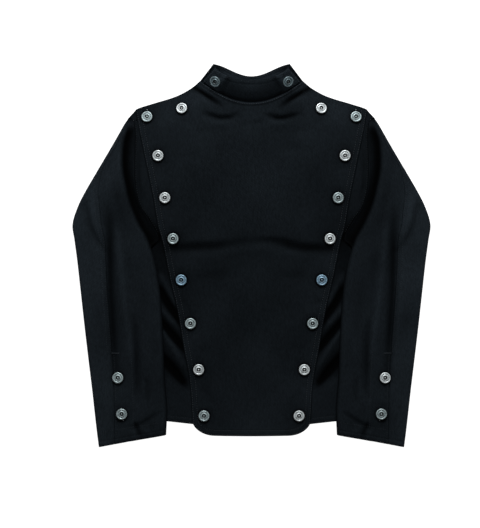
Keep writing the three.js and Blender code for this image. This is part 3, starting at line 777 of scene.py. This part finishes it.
def to_grid(columns, v):
    """Rows of (u, z) columns become points, with the cuff's slope, and each point's value of painted shade
    and highlight with slow wear.
    """
    u, z = columns[..., 0], columns[..., 1]
    v = np.broadcast_to(v[:, None], u.shape)
    hem = edge_drop(v - CUFF_V)
    inside = np.interp(v, SLEEVE_BRIGHTNESS[0], SLEEVE_BRIGHTNESS[1])
    outside = np.interp(v, SLEEVE_BRIGHTNESS[0], SLEEVE_BRIGHTNESS[2])
    wear_and_shade = inside + (outside - inside) * ease(-8, 12, u - sleeve_elbow(v)) + slow_wear(u, v)
    # Creases and puckers are painted darker in their troughs and lighter on their ridges, and shade is
    # painted round the cuff buttons and along the hem stitches.
    wear_and_shade = wear_and_shade - 0.16 * creased(SLEEVE_CREASES, u, v) - 0.15 * creased(CUFF_PUCKERS, u, v)
    wear_and_shade = wear_and_shade - button_shade(CUFF_BUTTONS, u, v) - row_shade(v - CUFF_V)
    # Painted shade: inward of the inner fold and rim, in the valley by the armhole and where the under
    # layer lies over the body, the sleeve is painted near black, a little lighter in the valley towards the
    # armhole seam; the cap's top is painted darker by the inner edge.
    inner = sleeve_inner(v)
    deep = ease(250, 222, v) * ease(7, -3, u - inner) * np.where(u < inner + 30, 1, 0)
    wear_and_shade = wear_and_shade * (1 - deep) + 0.31 * deep * ease(5, 20, inner - u) * ease(-20, 110, v)
    wear_and_shade = wear_and_shade * (1 - 0.6 * ease(238, 246, v) * ease(10, 4, u - inner))
    lift = np.where(z > 2, hem, 0)
    return np.dstack([u, slanted(u, v), z - lift]), wear_and_shade


def sleeve_top_grid():
    v = sleeve_rows()
    start = sleeve_elbow(v) - SEAM_GAP
    end = np.minimum(sleeve_inner(v) + 8, (start + sleeve_inner(v)) / 2)
    shares = spread(90)
    u = start[:, None] + (end - start)[:, None] * shares
    z = sleeve_face(u, v[:, None]) - 0.5 * edge_drop(start[:, None] - u)
    inward = blend_columns(np.concatenate([np.dstack([u, z])[:, -1:], inner_columns(v)], 1), 16)
    columns = np.concatenate([np.dstack([u, z]), inward[:, 1:]], 1)[:, ::-1]
    return to_grid(columns, v)


def sleeve_under_grid():
    v = sleeve_rows()
    turn, outer, elbow = outer_round(v), sleeve_outer(v), sleeve_elbow(v)
    lap_u = (elbow - SEAM_GAP)[:, None] - UNDERLAP * np.linspace(1, 0.05, 8)
    lap_z = sleeve_face(lap_u, v[:, None]) - WALL - SEAM_GAP
    flat_end = np.maximum(outer - turn - 1, elbow + 0.2)
    flat_u = elbow[:, None] + (flat_end - elbow)[:, None] * spread(60)
    under_vent = ease(VENT_TOP + 6, VENT_TOP, v)[:, None] * (WALL + SEAM_GAP)
    beside = np.clip(1 - (flat_u - elbow[:, None]) / 4, 0, 1)
    flat_z = sleeve_face(flat_u, v[:, None]) - 0.5 * edge_drop(flat_u - elbow[:, None])
    flat_z = flat_z - under_vent * beside
    angle = np.radians(np.linspace(12, 168, 12))
    round_u = (outer - turn)[:, None] + turn[:, None] * np.sin(angle)
    round_z = turn[:, None] * (1 + np.cos(angle))
    foot = np.where(v > UNDERARM, back_armhole(v), side_seam(v) + 12)
    start = outer - turn - 0.5
    floor_u = start[:, None] + (np.minimum(foot, start - 0.4) - start)[:, None] * np.linspace(0, 1, 12)
    side, inner = side_seam(v), sleeve_inner(v)
    rising_u = (side + 1)[:, None] + (inner + 4 - side)[:, None] * np.linspace(0, 1, 16)
    rising_z = over_body(rising_u, v[:, None])
    rest = over_body(inner + 4, v)
    fold = (sleeve_face(inner + 8, v) - rest) / 2
    turned_u = inner[:, None] + np.array([3.4, 2, 0.9, 0.2, 0, 0])
    turned_z = rest[:, None] + fold[:, None] * np.array([0.06, 0.2, 0.38, 0.6, 0.8, 0.98])
    parts = [
        (lap_u, lap_z), (flat_u, flat_z), (round_u, round_z), (floor_u, np.zeros_like(floor_u)),
        (rising_u, rising_z), (turned_u, turned_z),
    ]
    columns = np.concatenate([np.dstack(p) for p in parts], 1)
    kept = np.ones((len(v) - 1, columns.shape[1] - 1), bool)
    kept[:, : lap_u.shape[1]] = (v[:-1] <= VENT_TOP)[:, None]
    kept[:, -(rising_u.shape[1] + turned_u.shape[1]) :] = (v[:-1] <= UNDERARM)[:, None]
    return *to_grid(columns, v), kept


top_half = sleeve_top_grid()
*under_half, under_kept = sleeve_under_grid()
sleeve_left_top = cloth("cloth_sleeve_left_top", *top_half, sleeve_twill_left)
sleeve_right_top = cloth("cloth_sleeve_right_top", *mirrored(*top_half), sleeve_twill_right)
sleeve_left_under = cloth("cloth_sleeve_left_under", *under_half, sleeve_twill_left, kept=under_kept)
sleeve_right_under = cloth(
    "cloth_sleeve_right_under", *mirrored(*under_half), sleeve_twill_right, kept=under_kept[:, ::-1]
)

# %% [markdown]
# ## The stand collar
# The collar is a short tube that leans back. Its back part rises from the neck seam of the back
# panel, and the bib carries its own length of collar, which buttons over the ends of the other.
# The tube is a loft between two curves: the neck seam and the top edge. An angle runs round it,
# 0 at the front and 180 at the back.

# %% Collar
COLLAR_TOP_HALF = 68.0
COLLAR_TOP_SIDE = 343.9
COLLAR_HEIGHT = 43
MM_PER_DEGREE = 1.3


def collar_point(angle, share):
    """A point on the collar's outer face, in millimetres; arrays of angles and shares."""
    a = np.radians(angle)
    c, s = np.cos(a), np.sin(a)
    front = c > 0
    side = np.abs(c)
    base_drop = np.where(front, 40, 32)
    dip = np.where(front, 28.5 * side, 19.5 * side**4.4)
    base_v = NECK_SIDE - base_drop * c * c + np.where(front, 1, 0.6)
    base = np.stack([(NECK_HALF - 1) * s, base_v, 0.4 + 14 * ease(-1, 1, c)], -1)
    top = np.stack([COLLAR_TOP_HALF * s, COLLAR_TOP_SIDE - dip, 13 + 18 * ease(-1, 0, c)], -1)
    share = np.asarray(share, float)[..., None]
    point = base + (top - base) * share
    swell = 2.2 * np.sin(np.pi * share[..., 0]) * np.maximum(c, 0)
    return point + np.stack([0 * swell, 0 * swell, swell], -1)


def collar_outward(angle, share):
    along = collar_point(angle + 1, share) - collar_point(angle - 1, share)
    up = collar_point(angle, share + 0.01) - collar_point(angle, share - 0.01)
    normal = np.cross(along, up)
    return normal / np.linalg.norm(normal, axis=-1, keepdims=True)


def collar_grid(start, end, inset):
    """A length of collar between two angles, set in under the front one by that much."""
    angle = start + (end - start) * spread(abs(end - start) * MM_PER_DEGREE)
    share = 1 - spread(COLLAR_HEIGHT)
    angle, share = np.meshgrid(angle, share)
    from_front = np.minimum(angle % 360, 360 - angle % 360)
    if inset:
        # At the shoulders the seam's turning reaches down over the fronts.
        share = 1 - (1 - share) * (1 + 0.14 * ease(44, 62, from_front) * ease(124, 104, from_front))
    point, normal = collar_point(angle, share), collar_outward(angle, share)
    covered = inset * ease(86, 78, from_front)
    if inset:
        rounding = edge_drop((1 - share) * COLLAR_HEIGHT)
    else:
        near_end = (end - np.abs(angle)) * MM_PER_DEGREE
        rounding = edge_drop(np.minimum((1 - share) * COLLAR_HEIGHT, near_end))
    # Soft folds stand where the front's collar turns to the sides.
    fold = np.exp(-(((from_front - 36) / 4.5) ** 2)) - 0.8 * np.exp(-(((from_front - 45) / 4) ** 2))
    centre = np.exp(-((from_front / 15) ** 2)) * np.exp(-(((share - 0.55) / 0.25) ** 2))
    sink = 1.1 * fold * np.sin(np.pi * np.clip(share, 0, 1)) - 0.6 * centre
    # Painted light and shade: the collar's sides, which face up, are painted lighter; its folds darker in
    # their troughs and lighter on their banks; the middle of the front lighter; a painted shadow along the
    # foot of the front by the neck seam; a painted highlight along the top edge.
    side_light = 0.25 if inset else 1.2
    wear_and_shade = 0.76 + side_light * ease(38, 46, from_front) - 0.16 * fold + 0.3 * centre
    wear_and_shade = wear_and_shade - 0.5 * ease(0.24, 0.02, share) * ease(58, 30, from_front)
    wear_and_shade = wear_and_shade + 0.2 * np.exp(-(((share - 0.93) / 0.04) ** 2))
    return point - normal * (covered + 0.6 * rounding + sink)[..., None], wear_and_shade


collar_front = cloth("cloth_collar_front", *collar_grid(-74.0, 74.0, 0.0), collar_twill)
# The inside of the back collar is painted much lighter, as painted light.
collar_back = cloth(
    "cloth_collar_back", *collar_grid(38.0, 322.0, WALL + LAY_GAP), collar_twill, inside_light_scale=1.5
)

# %% [markdown]
# ## Sewing
# Seams in workwear are felled and sewn twice, a couple of millimetres from the edge and again a
# finger's breadth inside. Each stitch is a short bead of thread that lies in the groove it pulls.
# Thousands of them would be heavy as separate objects, so each row is resampled to the stitch
# length and its beads are joined into one mesh for each piece of cloth. A texture of dashes would
# be lighter, but would not catch the light at the edge.

# %% Stitches
STITCH_PITCH = 4.2
STITCH_LENGTH = 1.8
THREAD_RADIUS = 0.34
THREAD_LIFT = 0.18
BEAD_SIDES = 6


def thread(name, colour):
    made, shader = material(name, 0.6)
    shader.inputs["Base Color"].default_value = (*colour, 1)
    shader.inputs["Specular IOR Level"].default_value = 0.05
    return made


bib_thread = thread("bib thread", (0.044, 0.050, 0.057))
black_thread = thread("black thread", (0.018, 0.022, 0.026))
pale_thread = thread("pale thread", (0.33, 0.35, 0.37))


def resampled(path, pitch):
    """Points at even steps along a path, with the direction at each."""
    path = np.asarray(path, float)
    run = np.concatenate([[0], np.cumsum(np.linalg.norm(np.diff(path, axis=0), axis=1))])
    at = np.arange(pitch / 2, run[-1], pitch)

    def places(far):
        return np.stack([np.interp(far, run, path[:, k]) for k in range(3)], 1)

    here, along = places(at), places(at + 1) - places(at - 1)
    return here, along / np.linalg.norm(along, axis=1, keepdims=True)


def bead(length, radius):
    """Points and faces of one stitch along X: two tips and two rings."""
    points = [(-length / 2, 0, 0)]
    for x in (-length * 0.3, length * 0.3):
        for k in range(BEAD_SIDES):
            angle = 2 * math.pi * k / BEAD_SIDES
            points.append((x, radius * math.cos(angle), radius * math.sin(angle)))
    points.append((length / 2, 0, 0))
    last = len(points) - 1
    faces = []
    for k in range(BEAD_SIDES):
        a, b = 1 + k, 1 + (k + 1) % BEAD_SIDES
        c, d = b + BEAD_SIDES, a + BEAD_SIDES
        faces += [(0, b, a), (a, b, c, d), (last, d, c)]
    return np.array(points, float), faces


def sewn(name, paths, colour=None, length=STITCH_LENGTH, pitch=STITCH_PITCH, radius=THREAD_RADIUS):
    """All the stitches along some paths, as one piece."""
    shape, shape_faces = bead(length, radius)
    points, faces = [], []
    for path in paths:
        here, along = resampled(path, pitch)
        side = np.cross(np.array([0.0, 0.0, 1.0]), along)
        side /= np.linalg.norm(side, axis=1, keepdims=True)
        up = np.cross(along, side)
        for centre, t, s, n in zip(here, along, side, up):
            start = len(points) * len(shape)
            faces += [tuple(start + k for k in face) for face in shape_faces]
            points.append(centre + n * THREAD_LIFT + shape @ np.stack([t, s, n]))
    piece = mesh_object(name, np.concatenate(points), faces, colour or black_thread)
    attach(piece, "root")
    print(name, "stitches:", len(points))
    return piece


# %% Rows on the body


def on_bib(u, v, inside):
    return np.stack([u, v, bib_face(u, v) - edge_drop(inside)], 1)


def inset_line(line, distance):
    """A 2-D line moved to its left."""
    along = np.gradient(line, axis=0)
    along /= np.linalg.norm(along, axis=1, keepdims=True)
    return line + distance * np.stack([-along[:, 1], along[:, 0]], 1)


def bib_outline():
    """Down the wearer's right, along the hem and up the left."""
    v = np.linspace(262, -290, 160)
    share = np.linspace(-1, 1, 160)
    hem = np.stack([share * 107, bib_hem(share)], 1)
    side = np.stack([bib_edge(v), v], 1)
    return np.concatenate([side * [-1, 1], hem, side[::-1]])


def bib_rows():
    rows = []
    for distance in STITCH_ROWS:
        line = inset_line(bib_outline(), distance)
        rows.append(on_bib(line[:, 0], line[:, 1], distance))
    u = np.linspace(-88, 88, 90)
    v = front_top(np.abs(u)) - 3.4
    rows.append(np.stack([u, v, bib_face(u, v) + 0.7], 1))
    return rows


def front_rows(sign):
    rows = []
    for distance in STITCH_ROWS:
        u = np.linspace(96, 216, 60)
        v = front_hem(u) + distance
        rows.append(np.stack([u, v, front_face(sign * u, v) - edge_drop(distance)], 1))
    v = np.linspace(238, 44, 90)
    u = front_armhole(v) - SEAM_GAP - 2.5
    rows.append(np.stack([u, v, front_face(sign * u, v)], 1))
    return [row * [sign, 1, 1] for row in rows]


sewn("thread_bib", bib_rows(), bib_thread)
sewn("thread_front_left", front_rows(1))
sewn("thread_front_right", front_rows(-1))

# %% Rows on the sleeves
CUFF_HEM = 25.0


def sleeve_line(out, top, bottom):
    """A line along the elbow seam, that far out from it."""
    v = np.linspace(top, bottom, 160)
    u = sleeve_elbow(v) + out
    return np.stack([u, slanted(u, v), sleeve_face(u, v)], 1)


def cuff_line(start, end):
    u = np.linspace(start, end, 60)
    v = np.full_like(u, CUFF_V + CUFF_HEM)
    return np.stack([u, slanted(u, v), sleeve_face(u, v)], 1)


top_rows = [sleeve_line(-3, VENT_TOP, CUFF_V + 3), sleeve_line(-34, VENT_TOP + 2, CUFF_V + CUFF_HEM)]
top_rows.append(cuff_line(158, 245))
under_rows = [sleeve_line(out, 226, VENT_TOP) for out in (2.2, 8.4)]
under_rows.append(cuff_line(248, 270))
# A bar tack keeps the vent from tearing.
tack_v = VENT_TOP - 2
tack = []
for u in np.arange(238, 252, 0.9):
    z = float(sleeve_face(u, tack_v))
    tack.append(np.array([[u, tack_v - 1.2, z], [u + 0.1, tack_v + 1.2, z]]))
for side, sign in (("left", 1), ("right", -1)):
    turn = np.array([sign, 1, 1])
    sewn(f"thread_sleeve_{side}_top", [row * turn for row in top_rows])
    sewn(f"thread_sleeve_{side}_under", [row * turn for row in under_rows])
    sewn(f"thread_vent_{side}", [row * turn for row in tack], length=2.6, pitch=2.4)
    # Two ends of the button maker's thread show pale.
    shoulder = np.array([[188.6, 263.4, 0.0], [187.8, 266.0, 0.0]])
    shoulder[:, 2] = [float(bib_face(u, v)) for u, v, _ in shoulder]
    cuff = np.array([[231.2, -293.6, 0.0], [229.6, -296.0, 0.0]])
    cuff[:, 2] = [float(sleeve_face(u, v)) for u, v, _ in cuff]
    sewn(f"thread_ends_{side}", [shoulder * turn, cuff * turn], pale_thread, 2.2, 2.2, 0.5)

# %% Rows on the collar


def collar_line(start, end, share, inset):
    angle = np.linspace(start, end, 120)
    shares = np.full_like(angle, share)
    return collar_point(angle, shares) - inset * collar_outward(angle, shares)


def collar_end(angle):
    share = np.linspace(0.08, 0.92, 30)
    angles = np.full_like(share, angle)
    return collar_point(angles, share)


sewn("thread_collar_front", [collar_line(-71, 71, 0.93, 0), collar_end(-71.5), collar_end(71.5)])
sewn("thread_collar_back", [collar_line(84, 276, 0.93, WALL + LAY_GAP)])

# %% [markdown]
# ## Buttons
# A tack button is stamped from two cups: a rim, a groove and a raised ring round a hollow with
# the rivet's nub in it. Turning a profile round an axis is the natural way to make it. The metal
# is antiqued, bright where hands rub it, and no two buttons have quite the same grey.

# %% Button metal
BUTTON_GREYS = {
    "pale": (0.46, 0.50, 0.51),
    "middle": (0.26, 0.32, 0.33),
    "blue": (0.16, 0.26, 0.34),
    "dark": (0.14, 0.195, 0.215),
}


def button_metal(name, grey):
    made, shader = material(name, 0.42, 0.5)
    tree = made.node_tree
    dark = tuple(c * 0.45 for c in grey)
    bright = tuple(min(c * 1.35, 1) for c in grey)
    patina = ramp(tree, noise(tree, 420, 5), [(0.3, dark), (0.5, grey), (0.75, bright)])
    rubbed = tree.nodes.new("ShaderNodeAttribute")
    rubbed.attribute_name = "wear_and_shade"
    shaded = tree.nodes.new("ShaderNodeMix")
    shaded.data_type = "RGBA"
    shaded.blend_type = "MULTIPLY"
    shaded.inputs[0].default_value = 1
    tree.links.new(patina, shaded.inputs[6])
    tree.links.new(rubbed.outputs["Color"], shaded.inputs[7])
    tree.links.new(shaded.outputs[2], shader.inputs["Base Color"])
    rough = tree.nodes.new("ShaderNodeMapRange")
    rough.inputs["To Min"].default_value = 0.3
    rough.inputs["To Max"].default_value = 0.6
    tree.links.new(noise(tree, 700, 4), rough.inputs["Value"])
    tree.links.new(rough.outputs["Result"], shader.inputs["Roughness"])
    bumped(tree, shader, noise(tree, 1400, 3), 0.3, 0.08)
    return made


metals = {name: button_metal(f"{name} button metal", grey) for name, grey in BUTTON_GREYS.items()}
print("button metals:", sorted(metals))

# %% Turned button
PROFILE = [
    (0.0, 0.0), (4.2, 0.0), (4.2, 1.5), (8.8, 1.55), (9.7, 1.75), (10.0, 2.3), (9.85, 3.0), (9.3, 3.65),
    (8.4, 3.9), (7.6, 3.75), (7.1, 3.25), (6.7, 2.75), (6.1, 2.7), (5.7, 3.1), (5.3, 3.75), (4.7, 4.15),
    (4.0, 4.15), (3.4, 3.8), (3.0, 3.1), (2.7, 2.3), (2.2, 2.05), (1.7, 2.1), (1.4, 2.6), (1.15, 3.1),
    (0.7, 3.35), (0.0, 3.42),
]
# How bright the metal is rubbed at each radius: dark in the hollow, brightest on the ring.
RUBBED = (
    (0, 1.0, 1.4, 1.8, 3.1, 3.8, 4.6, 5.6, 6.4, 7.2, 8.4, 9.4, 9.9),
    (1.2, 1.1, 0.3, 0.05, 0.05, 0.4, 1.15, 1.1, 0.7, 0.85, 1.15, 0.9, 0.35),
)
TURNS = 48


def turned(profile, turns):
    """Points and faces of a profile turned round the Z axis."""
    points, faces, rings = [], [], []
    for radius, height in profile:
        if radius == 0:
            rings.append([len(points)] * turns)
            points.append((0, 0, height))
            continue
        rings.append(list(range(len(points), len(points) + turns)))
        for k in range(turns):
            angle = 2 * math.pi * k / turns
            points.append((radius * math.cos(angle), radius * math.sin(angle), height))
    for low, high in zip(rings, rings[1:]):
        for k in range(turns):
            m = (k + 1) % turns
            corners = [low[k], low[m], high[m], high[k]]
            faces.append(tuple(dict.fromkeys(corners)))
    return np.array(points, float), faces


def seated(points, place, normal):
    """Turns points so that their Z axis is the normal, and puts them in place."""
    z = normal / np.linalg.norm(normal)
    turn = np.array(Vector((0, 0, 1)).rotation_difference(Vector(z)).to_matrix())
    return points @ turn.T + place


def slope_normal(face, u, v, reach=4.0):
    slope_u = (face(u + reach, v) - face(u - reach, v)) / (2 * reach)
    slope_v = (face(u, v + reach) - face(u, v - reach)) / (2 * reach)
    return np.array([-float(slope_u), -float(slope_v), 1.0])


BUTTON_PLAY = 0.5
buttons = []


def add_button(name, place, normal, metal):
    points, faces = turned(PROFILE, TURNS)
    rubbed = np.interp(np.hypot(points[:, 0], points[:, 1]), *RUBBED)
    points = seated(points, place + BUTTON_PLAY * normal / np.linalg.norm(normal), normal)
    piece = mesh_object("metal_" + name, points, faces, metals[metal], rubbed)
    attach(piece, "root")
    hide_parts(name)
    buttons.append(piece)


for label, u, v, grey_left, grey_right in BUTTON_PLACES:
    face = sleeve_face if label.startswith("cuff") else bib_face
    normal = slope_normal(face, u, v)
    place = np.array([u, v, float(face(u, v))])
    flip = np.array([-1, 1, 1])
    add_button(f"button_left_{label}", place, normal, grey_left)
    add_button(f"button_right_{label}", place * flip, normal * flip, grey_right)

COLLAR_BUTTON = (52.8, 0.44)
for side, sign in (("left", 1), ("right", -1)):
    on_collar = (sign * COLLAR_BUTTON[0], COLLAR_BUTTON[1])
    add_button(f"button_{side}_collar", collar_point(*on_collar), collar_outward(*on_collar), "dark")
print("buttons:", len(buttons))

# %% [markdown]
# ## What each piece stands for
# Every fine piece takes the place of its plain solid and rides on the root body. The table
# also lists the size each piece of cloth was cut to and what it lies on.

# %% Ride and replace
CUTS = {
    # piece: width and length of the cut, metres, and what it lies on
    "back": (back, (0.47, 0.62), []),
    "front_left": (front_left, (0.19, 0.624), ["back"]),
    "front_right": (front_right, (0.19, 0.624), ["back"]),
    "bib": (bib, (0.42, 0.642), ["front_left", "front_right"]),
    "collar_front": (collar_front, (0.2, 0.05), ["collar_back"]),
    "collar_back": (collar_back, (0.33, 0.05), ["back"]),
    "sleeve_left_top": (sleeve_left_top, (0.14, 0.608), ["sleeve_left_under"]),
    "sleeve_right_top": (sleeve_right_top, (0.14, 0.608), ["sleeve_right_under"]),
    "sleeve_left_under": (sleeve_left_under, (0.22, 0.624), ["front_left"]),
    "sleeve_right_under": (sleeve_right_under, (0.22, 0.624), ["front_right"]),
}
for name, (piece, flat, rests_on) in CUTS.items():
    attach(piece, "root")
    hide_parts(name)

# %% [markdown]
# ## Table, light and camera
# A pale table and soft light from above and beyond the collar, as in a studio: the wall of a
# trough that faces away from the light goes dark and the other wall catches it, which is what
# makes creases read in black cloth. A long lens straight above keeps the outline true.

# %% Floor
FLOOR_HALF = 3.0
FLOOR_TOP = -0.0005


def floor():
    mesh = bpy.data.meshes.new("floor")
    corners = [(x * FLOOR_HALF, y * FLOOR_HALF, FLOOR_TOP) for x, y in ((-1, -1), (1, -1), (1, 1), (-1, 1))]
    mesh.from_pydata(corners, [], [(0, 1, 2, 3)])
    made, shader = material("table white", 0.9)
    shader.inputs["Base Color"].default_value = (0.3, 0.3, 0.3, 1)
    shader.inputs["Emission Color"].default_value = (1, 1, 1, 1)
    shader.inputs["Emission Strength"].default_value = 1.0
    mesh.materials.append(made)
    table = bpy.data.objects.new("floor", mesh)
    bpy.context.scene.collection.objects.link(table)
    return table


floor()
print("floor laid")

# %% Lights and world


def area_light(name, place, aim, size, power):
    light = bpy.data.lights.new(name, "AREA")
    light.shape = "SQUARE"
    light.size = size
    light.energy = power
    lamp = bpy.data.objects.new(name, light)
    lamp.location = place
    lamp.rotation_euler = (Vector(aim) - Vector(place)).to_track_quat("-Z", "Y").to_euler()
    bpy.context.scene.collection.objects.link(lamp)
    return lamp


area_light("window", (0.0, 2.2, 1.45), (0, 0, 0), 1.0, 92)
area_light("overhead", (0.0, 0.1, 2.6), (0, 0, 0), 1.2, 7)
world = bpy.data.worlds.new("studio")
world.use_nodes = True
world.node_tree.nodes["Background"].inputs["Color"].default_value = (1, 1, 1, 1)
world.node_tree.nodes["Background"].inputs["Strength"].default_value = 0.2
bpy.context.scene.world = world
bpy.context.scene.view_settings.view_transform = "Standard"
print("lights:", len(bpy.data.lights))

# %% Camera
CAMERA_X = -20.7
CAMERA_Y = -13.5
VIEW_HEIGHT = 950.4
CLOTH_HEIGHT = 12.0
LENS = 85.0
SENSOR = 36.0
camera_data = bpy.data.cameras.new("camera")
camera_data.lens = LENS
camera_data.sensor_width = SENSOR
camera_data.clip_end = 20
camera = bpy.data.objects.new("camera", camera_data)
camera.location = (CAMERA_X * MM, CAMERA_Y * MM, (VIEW_HEIGHT * LENS / SENSOR + CLOTH_HEIGHT) * MM)
bpy.context.scene.collection.objects.link(camera)
bpy.context.scene.camera = camera
print("camera height:", round(camera.location.z, 3), "m")
